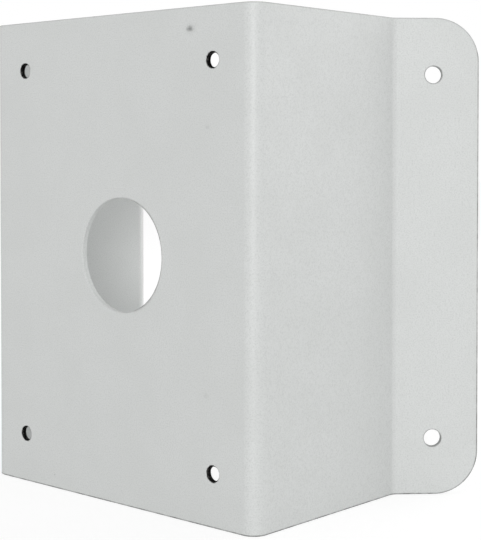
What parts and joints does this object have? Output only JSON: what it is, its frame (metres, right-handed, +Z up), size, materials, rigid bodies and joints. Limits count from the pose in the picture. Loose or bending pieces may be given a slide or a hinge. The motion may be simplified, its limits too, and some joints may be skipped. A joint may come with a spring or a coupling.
{
  "type": "camera mount bracket",
  "caption": "Corner mount bracket of folded, coated sheet steel: carries a camera arm on its tapped front plate and screws to the two walls of an outside corner.",
  "frame": {"origin": "centre of the bounding box at the level of the lower cut edge, where the bracket stands", "axes": "+Z up along the folds, -Y out of the front plate towards the camera, +X to the right for someone who looks at the front plate"},
  "size_m": [0.2464, 0.1374, 0.24],
  "materials": {
    "powder_coat": "satin"
  },
  "bodies": {
    "root": {"bracket": "powder_coat"}
  },
  "joints": []
}
